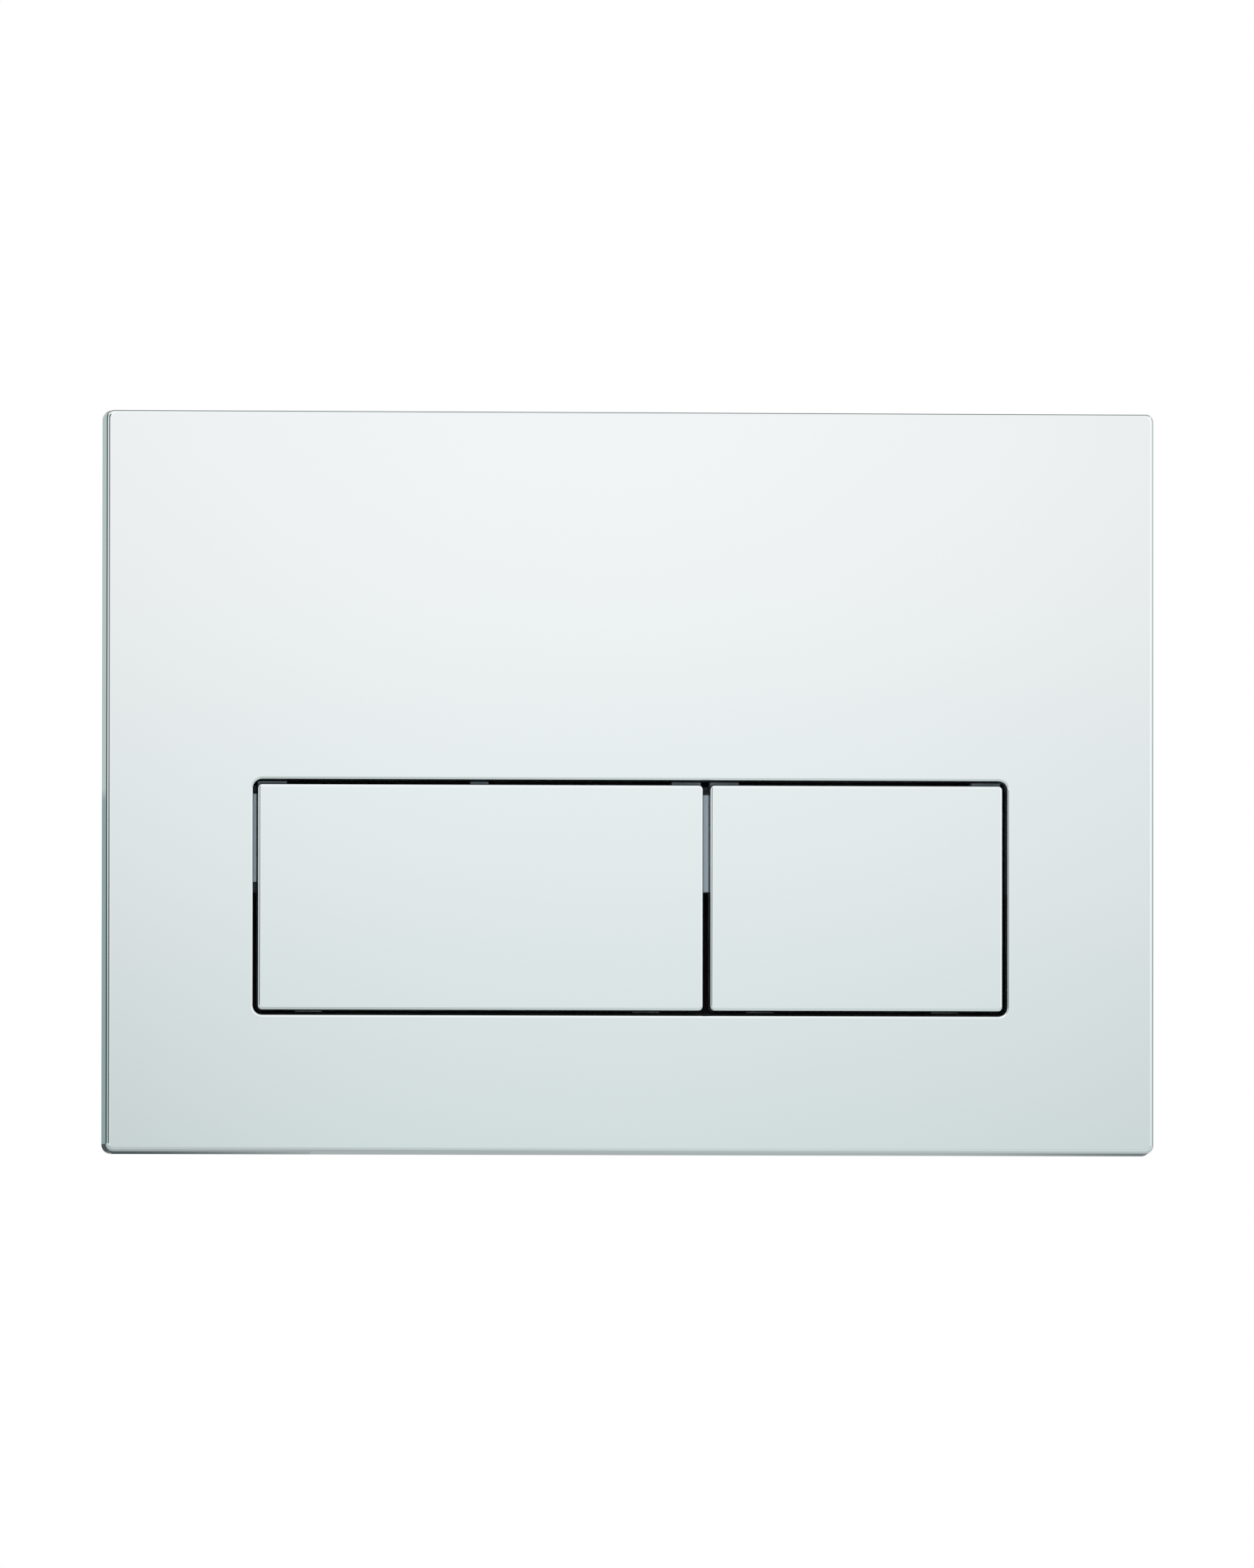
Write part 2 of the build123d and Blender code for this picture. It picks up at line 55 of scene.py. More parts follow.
class Wire:  # a socket in a node tree, whose operators add Math nodes
    def __init__(self, tree, socket=None):
        self.tree = tree
        self.socket = socket

    def node(self, kind, settings=None, feeds=None, out=0):
        made = self.tree.nodes.new(kind)
        for name, value in (settings or {}).items():
            setattr(made, name, value)
        for key, value in (feeds or {}).items():
            if isinstance(value, Wire):
                self.tree.links.new(value.socket, made.inputs[key])
            else:
                made.inputs[key].default_value = value
        return Wire(self.tree, made.outputs[out] if made.outputs else None)

    def other(self, name):  # another output of the same node
        return Wire(self.tree, self.socket.node.outputs[name])

    def calc(self, operation, *values):
        return self.node("ShaderNodeMath", {"operation": operation}, dict(enumerate(values)))

    def __add__(self, other):
        return self.calc("ADD", self, other)

    def __sub__(self, other):
        return self.calc("SUBTRACT", self, other)

    def __rsub__(self, other):
        return self.calc("SUBTRACT", other, self)

    def __mul__(self, other):
        return self.calc("MULTIPLY", self, other)

    def __truediv__(self, other):
        return self.calc("DIVIDE", self, other)

    def __rtruediv__(self, other):
        return self.calc("DIVIDE", other, self)

    def __pow__(self, other):
        return self.calc("POWER", self, other)

    def __rpow__(self, other):
        return self.calc("POWER", other, self)

    __radd__ = __add__
    __rmul__ = __mul__

    def split(self):  # a vector's X, with its Y and Z as other outputs
        return self.node("ShaderNodeSeparateXYZ", None, {0: self})

    def remap(self, low, high, toLow=0.0, toHigh=1.0, smooth=True):
        ease = "SMOOTHSTEP" if smooth else "LINEAR"
        feeds = {0: self, 1: low, 2: high, 3: toLow, 4: toHigh}
        return self.node("ShaderNodeMapRange", {"interpolation_type": ease}, feeds)

    def mixColour(self, first, second):  # this value goes from the first colour to the second
        ends = [end if isinstance(end, Wire) else (*end, 1.0) for end in (first, second)]
        feeds = {0: self, 6: ends[0], 7: ends[1]}
        return self.node("ShaderNodeMix", {"data_type": "RGBA"}, feeds, out=2)


def newFinish(name):  # a material, its empty tree and its Object coordinates
    finish = bpy.data.materials.new(name)
    finish.use_nodes = True
    finish.node_tree.nodes.clear()
    wire = Wire(finish.node_tree)
    return finish, wire, wire.node("ShaderNodeTexCoord", out="Object")


def noise(place, scale, detail, rough):
    feeds = {"Vector": place, "Scale": scale, "Detail": detail, "Roughness": rough}
    return place.node("ShaderNodeTexNoise", None, feeds)


def bumped(height, strength, depth):
    feeds = {"Strength": strength, "Distance": depth, "Height": height}
    return height.node("ShaderNodeBump", None, feeds)


def closeFinish(wire, feeds):
    surface = wire.node("ShaderNodeBsdfPrincipled", None, feeds)
    wire.node("ShaderNodeOutputMaterial", None, {"Surface": surface})


chrome = {
    "tint": (0.862, 0.905, 0.905),
    "tintThin": (0.846, 0.893, 0.896),  # where the plating is a little thinner
    "patchNoise": (16.0, 2.0, 0.5),  # scale, detail and roughness, as in each finish
    "roughness": 0.030,
    "haze": 0.012,
    "hazeNoise": (70.0, 4.0, 0.6),
    "hazeRange": (0.35, 0.75),
    "ripple": 0.02,  # faint moulding ripple under the plating
    "rippleNoise": (34.0, 1.0, 0.5),
    "rippleHeight": 0.2 * mm,
    "core": (0.46, 0.485, 0.485),  # plating on the unpolished core side of the mouldings
    "coreRoughness": 0.42,
    "coreHaze": 0.1,
    "coreFrom": -10.3 * mm,  # the core side lies behind this and inside these half widths
    "coreReach": (115.8 * mm, 81.3 * mm),
}


def polishedChrome(spec):
    finish, wire, place = newFinish("polishedChrome")
    patch = noise(place, *spec["patchNoise"])
    haze = noise(place, *spec["hazeNoise"]).remap(*spec["hazeRange"])
    ripple = noise(place, *spec["rippleNoise"])
    across = place.split()
    core = wire.calc("GREATER_THAN", across.other("Y"), spec["coreFrom"])
    for axis, reach in zip("XZ", spec["coreReach"]):
        core = core * wire.calc("LESS_THAN", wire.calc("ABSOLUTE", across.other(axis)), reach)
    outer = patch.mixColour(spec["tint"], spec["tintThin"])
    gloss = haze * spec["haze"] + spec["roughness"]
    closeFinish(wire, {
        "Base Color": core.mixColour(outer, spec["core"]),
        "Metallic": 1.0,
        "Roughness": gloss + core * (haze * spec["coreHaze"] + spec["coreRoughness"]),
        "Normal": bumped(ripple, spec["ripple"], spec["rippleHeight"]),
    })
    return finish


plastics = {
    "blackPlastic": {
        "shade": (0.016, 0.017, 0.019), "shadeWorn": (0.027, 0.028, 0.030),
        "roughness": 0.42, "spread": 0.16, "grain": 0.16,
    },
    "greyPlastic": {
        "shade": (0.40, 0.485, 0.555), "shadeWorn": (0.46, 0.54, 0.60),
        "roughness": 0.36, "spread": 0.14, "grain": 0.08,
    },
    "whitePlastic": {
        "shade": (0.80, 0.81, 0.79), "shadeWorn": (0.86, 0.865, 0.85),
        "roughness": 0.38, "spread": 0.15, "grain": 0.10,
    },
}
moulding = {
    "flowNoise": (22.0, 3.0, 0.5),
    "flowShare": 0.7,  # of the change of shade, and the cloud has the rest
    "cloudNoise": (240.0, 3.0, 0.6),
    "range": (0.3, 0.7),
    "grainNoise": (1400.0, 2.0, 0.6),
    "grainHeight": 0.05 * mm,
}


def mouldedPlastic(name, spec):
    finish, wire, place = newFinish(name)
    flow = noise(place, *moulding["flowNoise"])
    cloud = noise(place, *moulding["cloudNoise"])
    grain = noise(place, *moulding["grainNoise"])
    share = moulding["flowShare"]
    tone = (flow * share + cloud * (1.0 - share)).remap(*moulding["range"])
    closeFinish(wire, {
        "Base Color": tone.mixColour(spec["shade"], spec["shadeWorn"]),
        "Roughness": cloud.remap(*moulding["range"]) * spec["spread"] + spec["roughness"],
        "Normal": bumped(grain, spec["grain"], moulding["grainHeight"]),
    })
    return finish


zinc = {
    "bright": (0.70, 0.71, 0.71),
    "warm": (0.60, 0.58, 0.53),
    "blushNoise": (150.0, 3.0, 0.5),
    "blushRange": (0.35, 0.7),
    "roughness": 0.22,
    "spread": 0.20,
    "lineScale": (90.0, 2600.0, 90.0),  # drawn and turned lines round the axis
    "lineNoise": (1.0, 3.0, 0.5),
    "lineRange": (0.3, 0.7),
    "line": 0.2,
    "lineHeight": 0.02 * mm,
}


def zincSteel(spec):
    finish, wire, place = newFinish("zincSteel")
    drawn = wire.node("ShaderNodeMapping", None, {"Vector": place, "Scale": spec["lineScale"]})
    line = noise(drawn, *spec["lineNoise"])
    blush = noise(place, *spec["blushNoise"]).remap(*spec["blushRange"])
    closeFinish(wire, {
        "Base Color": blush.mixColour(spec["bright"], spec["warm"]),
        "Metallic": 1.0,
        "Roughness": line.remap(*spec["lineRange"]) * spec["spread"] + spec["roughness"],
        "Normal": bumped(line, spec["line"], spec["lineHeight"]),
    })
    return finish


rubber = {
    "shade": (0.018, 0.018, 0.018),
    "bloom": (0.045, 0.045, 0.046),
    "bloomRange": (0.4, 0.75),
    "roughness": 0.72,
    "spread": 0.15,
    "speckNoise": (900.0, 3.0, 0.6),
    "speck": 0.2,
    "speckHeight": 0.05 * mm,
}


def softRubber(spec):
    finish, wire, place = newFinish("softRubber")
    speck = noise(place, *spec["speckNoise"])
    closeFinish(wire, {
        "Base Color": speck.remap(*spec["bloomRange"]).mixColour(spec["shade"], spec["bloom"]),
        "Roughness": speck * spec["spread"] + spec["roughness"],
        "Normal": bumped(speck, spec["speck"], spec["speckHeight"]),
    })
    return finish


finishes = {name: mouldedPlastic(name, spec) for name, spec in plastics.items()}
finishes["polishedChrome"] = polishedChrome(chrome)
finishes["zincSteel"] = zincSteel(zinc)
finishes["softRubber"] = softRubber(rubber)
slotFinish = {
    "chrome": "polishedChrome",
    "black_plastic": "blackPlastic",
    "grey_plastic": "greyPlastic",
    "white_plastic": "whitePlastic",
    "steel": "zincSteel",
    "rubber": "softRubber",
}
for part in frame["record"]["subparts"]:
    for holder in frame["nodes"][part["node"]].material_slots:
        holder.material = finishes[slotFinish[part["material_slot"]]]
print("finishes made:", len(finishes))

meshing = {
    "crispAngle": 0.55,  # edges that bend further stay sharp
    "weld": 0.002 * mm,  # closes the seam and the ends on the axis
    "groove": (0.15, 0.85),  # from a thread's root to its crest, as shares of half its pitch
    "threadRows": 8,  # in each pitch
    "nutSides": 6,
}


def newTree(name, inputs):  # a Geometry Nodes tree with named inputs
    tree = bpy.data.node_groups.new(name, "GeometryNodeTree")
    tree.is_modifier = True
    tree.interface.new_socket(name="Result", in_out="OUTPUT", socket_type="NodeSocketGeometry")
    for label, kind in inputs.items():
        tree.interface.new_socket(name=label, in_out="INPUT", socket_type="NodeSocket" + kind)
    given = tree.nodes.new("NodeGroupInput").outputs
    return Wire(tree), {label: Wire(tree, given[label]) for label in inputs}


def moreThan(wire, value, limit):
    return wire.node("FunctionNodeCompare", {"operation": "GREATER_THAN"}, {0: value, 1: limit})


def endTree(wire, shape, material):  # a plain mesh of one material
    shape = wire.node("GeometryNodeRealizeInstances", None, {"Geometry": shape})
    shape = wire.node("GeometryNodeSetMaterial", None, {"Geometry": shape, "Material": material})
    wire.node("NodeGroupOutput", None, {"Result": shape})


def closeTree(wire, shape, material):  # smooth faces and crisp corners, then the end
    bend = wire.node("GeometryNodeInputMeshEdgeAngle")
    corner = moreThan(wire, bend, meshing["crispAngle"])
    face = {"Geometry": shape, "Shade Smooth": True}
    shape = wire.node("GeometryNodeSetShadeSmooth", {"domain": "FACE"}, face)
    edge = {"Geometry": shape, "Selection": corner, "Shade Smooth": False}
    shape = wire.node("GeometryNodeSetShadeSmooth", {"domain": "EDGE"}, edge)
    endTree(wire, shape, material)


def grown(name, tree, values, points=()):  # runs a tree on a few points and keeps the plain mesh
    seed = bpy.data.meshes.new(name)
    seed.from_pydata([Vector(point) for point in points], [], [])
    piece = bpy.data.objects.new(name, seed)
    bpy.context.scene.collection.objects.link(piece)
    build = piece.modifiers.new("build", "NODES")
    build.node_group = tree
    for item in tree.interface.items_tree:
        if item.in_out == "INPUT" and item.name in values:
            build[item.identifier] = values[item.name]
    graph = bpy.context.evaluated_depsgraph_get()
    mesh = bpy.data.meshes.new_from_object(piece.evaluated_get(graph))
    piece.modifiers.remove(build)
    piece.data = mesh
    return piece


def fitted(piece, body, slot, *nodes):
    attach(piece, body)
    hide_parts(*nodes)


def turnedTree():  # a profile turned round the Y axis, with a thread, flats and cuts where asked
    wire, given = newTree("turnedPiece", {
        "Profile": "Geometry", "Rows": "Int", "Segments": "Int", "Pitch": "Float",
        "Depth": "Float", "Flats": "Float", "Cuts": "Int", "Cut size": "Vector",
        "Cut centre": "Vector", "Centre": "Vector", "Material": "Material",
    })
    sheet = wire.node("GeometryNodeMeshGrid", None, {
        "Size X": 1.0, "Size Y": 1.0,
        "Vertices X": given["Segments"] + 1.0, "Vertices Y": given["Rows"],
    })
    spot = wire.node("GeometryNodeInputPosition")
    across = spot.split()
    turn = (across + 0.5) * math.tau
    row = wire.calc("ROUND", (across.other("Y") + 0.5) * (given["Rows"] - 1.0))
    point = wire.node("GeometryNodeSampleIndex", {"data_type": "FLOAT_VECTOR"}, {
        "Geometry": given["Profile"], "Value": spot, "Index": row,
    })
    radius = point.split()  # a profile's point: radius, place along and share of the thread
    along, share = radius.other("Y"), radius.other("Z")
    lead = wire.calc("FRACT", along / given["Pitch"] - turn / math.tau)
    flank = wire.calc("ABSOLUTE", lead * 2.0 - 1.0)
    groove = flank.remap(*meshing["groove"], 1.0, 0.0, smooth=False)
    radius = radius - given["Depth"] * share * groove
    facet = math.tau / meshing["nutSides"]
    fromFlat = wire.calc("FLOORED_MODULO", turn + facet / 2, facet) - facet / 2
    flat = given["Flats"] * 0.5 / wire.calc("COSINE", fromFlat)
    radius = wire.calc("MINIMUM", radius, flat)
    ring = wire.node("ShaderNodeCombineXYZ", None, {
        0: radius * wire.calc("SINE", turn), 1: along, 2: radius * wire.calc("COSINE", turn),
    })
    body = wire.node("GeometryNodeSetPosition", None, {"Geometry": sheet, "Position": ring})
    body = wire.node("GeometryNodeMergeByDistance", None, {
        "Geometry": body, "Distance": meshing["weld"],
    })
    cutter = wire.node("GeometryNodeMeshCube", None, {"Size": given["Cut size"]})
    cutter = wire.node("GeometryNodeTransform", None, {
        "Geometry": cutter, "Translation": given["Cut centre"],
    })
    crossCutter = wire.node("GeometryNodeTransform", None, {
        "Geometry": cutter, "Rotation": (0.0, math.pi / 2, 0.0),
    })
    for done, tool in enumerate((cutter, crossCutter)):
        cut = wire.node("GeometryNodeMeshBoolean", {"operation": "DIFFERENCE"}, {
            "Mesh 1": body, "Mesh 2": tool,
        })
        body = wire.node("GeometryNodeSwitch", {"input_type": "GEOMETRY"}, {
            "Switch": moreThan(wire, given["Cuts"], done), "False": body, "True": cut,
        })
    body = wire.node("GeometryNodeTransform", None, {
        "Geometry": body, "Translation": given["Centre"],
    })
    closeTree(wire, body, given["Material"])
    return wire.tree


def copiesTree():  # one finished piece at each point, turned a little differently each time
    wire, given = newTree("copiesAtPlaces", {
        "Places": "Geometry", "Piece": "Object", "Seed": "Int", "Material": "Material",
    })
    piece = wire.node("GeometryNodeObjectInfo", None, {"Object": given["Piece"]}, out="Geometry")
    twist = wire.node("FunctionNodeRandomValue", {"data_type": "FLOAT"}, {
        2: 0.0, 3: math.tau, "Seed": given["Seed"],
    }, out=1)
    copies = wire.node("GeometryNodeInstanceOnPoints", None, {
        "Points": given["Places"], "Instance": piece,
        "Rotation": wire.node("ShaderNodeCombineXYZ", None, {1: twist}),
    })
    endTree(wire, copies, given["Material"])
    return wire.tree


def coilTree():  # a compression spring along Y, with its end turns closed
    wire, given = newTree("coilSpring", {
        "Radius": "Float", "Wire": "Float", "Start": "Float", "Turns": "Float",
        "End turns": "Float", "Open pitch": "Float", "Steps": "Int", "Sides": "Int",
        "Centre": "Vector", "Material": "Material",
    })
    line = wire.node("GeometryNodeCurvePrimitiveLine")
    line = wire.node("GeometryNodeResampleCurve", {"mode": "COUNT"}, {
        "Curve": line, "Count": given["Steps"],
    })
    turned = wire.node("GeometryNodeSplineParameter") * given["Turns"]
    closing = wire.calc("MINIMUM", turned, given["End turns"])
    ending = wire.calc("MAXIMUM", turned - given["Turns"] + given["End turns"], 0.0)
    opening = turned - closing - ending
    along = given["Start"] + (closing + ending) * given["Wire"] + opening * given["Open pitch"]
    angle = turned * math.tau
    helix = wire.node("ShaderNodeCombineXYZ", None, {
        0: given["Radius"] * wire.calc("SINE", angle), 1: along,
        2: given["Radius"] * wire.calc("COSINE", angle),
    })
    line = wire.node("GeometryNodeSetPosition", None, {
        "Geometry": line, "Position": helix, "Offset": given["Centre"],
    })
    section = wire.node("GeometryNodeCurvePrimitiveCircle", None, {
        "Resolution": given["Sides"], "Radius": given["Wire"] * 0.5,
    })
    coil = wire.node("GeometryNodeCurveToMesh", None, {
        "Curve": line, "Profile Curve": section, "Fill Caps": True,
    })
    closeTree(wire, coil, given["Material"])
    return wire.tree


turned, copies, coiled = turnedTree(), copiesTree(), coilTree()
plainTurning = {  # what a turned piece has unless its own dictionary says otherwise
    "segments": 48, "pitch": 1.0, "depth": 0.0,
    "flats": 1000.0,  # so far apart that the piece stays round
    "cuts": 0, "cutSize": (1, 1, 1), "cutCentre": (0, 0, 0),
}


def threadRun(radius, start, end, pitch):  # a profile's thread, which fades at both ends
    count = max(2, round((end - start) / pitch * meshing["threadRows"]))
    points = []
    for i in range(count + 1):
        along = start + (end - start) * i / count
        fade = min(along - start, end - along) / (pitch / 2)
        points.append((radius, along, min(1.0, fade)))
    return points


def turnedPiece(name, profile, spec, finish, centre=(0, 0, 0)):
    spec = {**plainTurning, **spec}
    points = [(r * mm, y * mm, share) for r, y, share in profile]
    return grown(name, turned, {
        "Rows": len(points), "Segments": spec["segments"],
        "Pitch": spec["pitch"] * mm, "Depth": spec["depth"] * mm, "Flats": spec["flats"] * mm,
        "Cuts": spec["cuts"], "Cut size": metres(spec["cutSize"]),
        "Cut centre": metres(spec["cutCentre"]),
        "Centre": metres(centre), "Material": finishes[finish],
    }, points)


rods = {
    "places": {"full": -33.5, "half": 50.5}, "height": -40.0,
    "front": -2.55, "frontEdge": 0.3, "radius": 3.0,
    "threadStart": 21.2, "threadEnd": 31.2, "pitch": 1.25, "depth": 0.42,
    "step": 32.0, "stepEdge": 0.4, "endRadius": 2.6, "back": 58.0, "tip": 1.0,
    "plainRows": (4.0, 12.0), "endRow": 40.0,  # rings that break up the long plain faces
}


def rodProfile(spec):
    front, edge, shank = spec["front"], spec["frontEdge"], spec["radius"]
    step, end, back, tip = spec["step"], spec["endRadius"], spec["back"], spec["tip"]
    return [
        (0, front, 0), (shank - edge, front, 0), (shank, front + edge, 0),
        *((shank, row, 0) for row in spec["plainRows"]),
        *threadRun(shank, spec["threadStart"], spec["threadEnd"], spec["pitch"]),
        (shank, step - spec["stepEdge"], 0), (end, step, 0), (end, spec["endRow"], 0),
        (end, back - tip, 0), (end - tip, back, 0), (0, back, 0),
    ]


for side, x in rods["places"].items():
    centre = (x, 0, rods["height"])
    rod = turnedPiece(side + "ThreadedRod", rodProfile(rods), rods, "whitePlastic", centre)
    fitted(rod, side + "_rod", "white_plastic", side + "_push_rod")
print("threaded rods made")

lockNuts = {
    "front": 21.4, "back": 25.9, "bore": 3.02, "mouth": 0.4,
    "flats": 10.0, "corner": 5.9, "face": 4.75, "chamfer": 0.6, "chamferRows": 6,
}


def nutProfile(spec):
    front, back, bore, mouth = spec["front"], spec["back"], spec["bore"], spec["mouth"]
    face, corner, chamfer = spec["face"], spec["corner"], spec["chamfer"]
    rise, rows = corner - face, spec["chamferRows"]
    slope = [i / rows for i in range(rows + 1)]
    return [
        (bore + mouth, front, 0),
        *((face + rise * t, front + chamfer * t, 0) for t in slope),
        *((corner - rise * t, back - chamfer * (1 - t), 0) for t in slope),
        (bore + mouth, back, 0), (bore, back - mouth, 0),
        (bore, front + mouth, 0), (bore + mouth, front, 0),
    ]


for side, x in rods["places"].items():
    centre = (x, 0, rods["height"])
    nut = turnedPiece(side + "LockNut", nutProfile(lockNuts), lockNuts, "greyPlastic", centre)
    fitted(nut, side + "_rod", "grey_plastic", side + "_lock_nut")
print("lock nuts made")

bolts = {
    "places": {"left": -86.0, "right": 86.0}, "height": 32.0,
    "front": -8.6, "headRadius": 8.0, "headEdge": 1.0, "headBack": -5.0,
    "radius": 4.0, "threadStart": -1.8, "threadEnd": 7.5, "pitch": 2.0, "depth": 0.55,
    "step": 8.0, "endRadius": 3.6, "back": 48.0, "tip": 1.0,
    "cuts": 1, "cutSize": (16.4, 3.6, 1.6), "cutCentre": (0, -8.6, 0),
}


def boltProfile(spec):
    front, head, edge = spec["front"], spec["headRadius"], spec["headEdge"]
    shank, end, back, tip = spec["radius"], spec["endRadius"], spec["back"], spec["tip"]
    return [
        (0, front, 0), (head - edge, front, 0), (head, front + edge, 0),
        (head, spec["headBack"], 0), (shank, spec["headBack"], 0),
        *threadRun(shank, spec["threadStart"], spec["threadEnd"], spec["pitch"]),
        *threadRun(end, spec["step"], back - tip, spec["pitch"]),
        (end - tip, back, 0), (0, back, 0),
    ]


for side, x in bolts["places"].items():
    centre = (x, 0, bolts["height"])
    bolt = turnedPiece(side + "DistanceBolt", boltProfile(bolts), bolts, "whitePlastic", centre)
    fitted(bolt, "plate", "white_plastic", side + "_distance_bolt")
print("distance bolts made")

screws = {
    "headRadius": 2.8, "headHeight": 2.0, "headEdge": 0.2,
    "domeFrom": 0.9, "domeAngles": (0.0, 0.3, 0.6, 0.9, 1.2, 1.45),
    "radius": 1.4, "pitch": 1.1, "depth": 0.34, "segments": 32,
    "tipRadius": 0.35, "coneRadius": 0.9, "coneLength": 1.0,
    "threadFrom": 1.6, "threadTo": 0.2,  # from the tip, and from the head
    "cuts": 2, "cutSize": (2.9, 2.4, 0.62), "cutCentre": (0, 2.1, 0),
    "seed": 4,
    "sets": {
        "housing": {
            "seat": -1.7, "length": 6.8,
            "spots": [(x, z) for x in (-72, 0, 72) for z in (7.8, -59.4)],
        },
        "rail": {
            "seat": 11.0, "length": 7.0,
            "spots": [(x, -11.9) for x in (-73.5, -24.5, 24.5, 73.5)],
        },
    },
}


def screwProfile(spec, length):
    shank, head, edge = spec["radius"], spec["headRadius"], spec["headEdge"]
    top, rim = spec["headHeight"], spec["domeFrom"]
    dome = [
        (head * math.cos(angle), rim + (top - rim) * math.sin(angle), 0)
        for angle in spec["domeAngles"]
    ]
    return [
        (0, -length, 0), (spec["tipRadius"], -length, 0),
        (spec["coneRadius"], spec["coneLength"] - length, 0),
        *threadRun(shank, spec["threadFrom"] - length, -spec["threadTo"], spec["pitch"]),
        (shank, 0, 0), (head - edge, 0, 0), (head, edge, 0), *dome, (0, top, 0),
    ]


for name, spot in screws["sets"].items():
    one = turnedPiece("oneScrew", screwProfile(screws, spot["length"]), screws, "zincSteel")
    group = grown(name + "ScrewSet", copies, {
        "Piece": one, "Seed": screws["seed"], "Material": finishes["zincSteel"],
    }, [metres((x, spot["seat"], z)) for x, z in spot["spots"]])
    bpy.data.objects.remove(one)
    fitted(group, "plate", "steel", name + "_screws")
print("screws made")

springs = {
    "radius": 4.6, "wire": 0.8, "start": -0.1, "length": 8.65, "turns": 5.5, "endTurns": 0.9,
    "sides": 12, "steps": 240, "floor": 9.0, "pressed": 0.46,
}
openTurns = springs["turns"] - 2 * springs["endTurns"]
openPitch = (springs["length"] - 2 * springs["endTurns"] * springs["wire"]) / openTurns
for side, x in rods["places"].items():
    spring = grown(side + "CoilSpring", coiled, {
        "Radius": springs["radius"] * mm, "Wire": springs["wire"] * mm,
        "Start": springs["start"] * mm, "Turns": springs["turns"],
        "End turns": springs["endTurns"], "Open pitch": openPitch * mm,
        "Steps": springs["steps"], "Sides": springs["sides"],
        "Centre": metres((x, 0.0, rods["height"])), "Material": finishes["zincSteel"],
    })
    fitted(spring, "plate", "steel", side + "_return_spring")
    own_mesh(spring)
print("springs made")

studio = {
    "ambient": 0.48,
    "floorHeight": -0.2, "floorSpan": 4.0,
    "floorShade": (0.80, 0.81, 0.81), "floorRoughness": 0.9,
    "clearFrom": 0.25, "clearTo": 0.85, "clearLeast": 0.45,  # the floor turns white further out
}
pureWhite = (1, 1, 1, 1)


def seenRays(wire):  # from the camera, mirrored in metal or through something clear
    path = wire.node("ShaderNodeLightPath")
    mirrored = wire.calc("MAXIMUM", path.other("Is Glossy Ray"), path.other("Is Transmission Ray"))
    return wire.calc("MAXIMUM", path, mirrored)


def whiteWorld(spec):
    world = bpy.data.worlds.new("whiteStudio")
    bpy.context.scene.world = world
    world.use_nodes = True
    world.node_tree.nodes.clear()
    wire = Wire(world.node_tree)
    soft = wire.node("ShaderNodeBackground", None, {
        "Color": pureWhite, "Strength": spec["ambient"],
    })
    white = wire.node("ShaderNodeBackground", None, {"Color": pureWhite, "Strength": 1.0})
    mixed = wire.node("ShaderNodeMixShader", None, {0: seenRays(wire), 1: soft, 2: white})
    wire.node("ShaderNodeOutputWorld", None, {"Surface": mixed})


def uprightCorners(spec):  # stands between two points on the ground
    (near, far), (low, high) = spec["ground"], spec["heights"]
    return [(*near, low), (*far, low), (*far, high), (*near, high)]


def levelCorners(spec):  # lies flat
    (left, right), (near, far), height = spec["x"], spec["y"], spec["height"]
    return [(left, near, height), (right, near, height), (right, far, height), (left, far, height)]


def stagePlane(name, corners, finish):
    finish.cycles.emission_sampling = "NONE"
    mesh = bpy.data.meshes.new(name)
    mesh.from_pydata(corners, [], [(0, 1, 2, 3)])
    mesh.materials.append(finish)
    plane = bpy.data.objects.new(name, mesh)
    bpy.context.scene.collection.objects.link(plane)
    return plane


def paleFloor(spec):
    finish, wire, place = newFinish("paleFloor")
    away = wire.node("ShaderNodeVectorMath", {"operation": "LENGTH"}, {0: place}, out="Value")
    clear = away.remap(spec["clearFrom"], spec["clearTo"], spec["clearLeast"], 1.0)
    ground = wire.node("ShaderNodeBsdfPrincipled", None, {
        "Base Color": (*spec["floorShade"], 1.0), "Roughness": spec["floorRoughness"],
    })
    white = wire.node("ShaderNodeEmission", None, {"Color": pureWhite, "Strength": 1.0})
    seen = seenRays(wire) * clear
    above = wire.node("ShaderNodeMixShader", None, {0: seen, 1: ground, 2: white})
    under = wire.node("ShaderNodeNewGeometry", out="Backfacing")  # seen through from underneath
    through = wire.node("ShaderNodeBsdfTransparent")
    mixed = wire.node("ShaderNodeMixShader", None, {0: under, 1: above, 2: through})
    wire.node("ShaderNodeOutputMaterial", None, {"Surface": mixed})
    span = (-spec["floorSpan"], spec["floorSpan"])
    corners = levelCorners({"x": span, "y": span, "height": spec["floorHeight"]})
    stagePlane("paleFloor", corners, finish)


def closeCard(finish, wire, corners, tint, glow=1.0):  # a card that only polished metal sees
    shade = wire.node("ShaderNodeVectorMath", {"operation": "SCALE"}, {0: tint, "Scale": glow})
    shine = wire.node("ShaderNodeEmission", None, {"Color": shade, "Strength": 1.0})
    wire.node("ShaderNodeOutputMaterial", None, {"Surface": shine})
    card = stagePlane(finish.name, corners, finish)
    card.visible_camera = False
    card.visible_diffuse = False
    card.visible_transmission = False
    card.visible_shadow = False


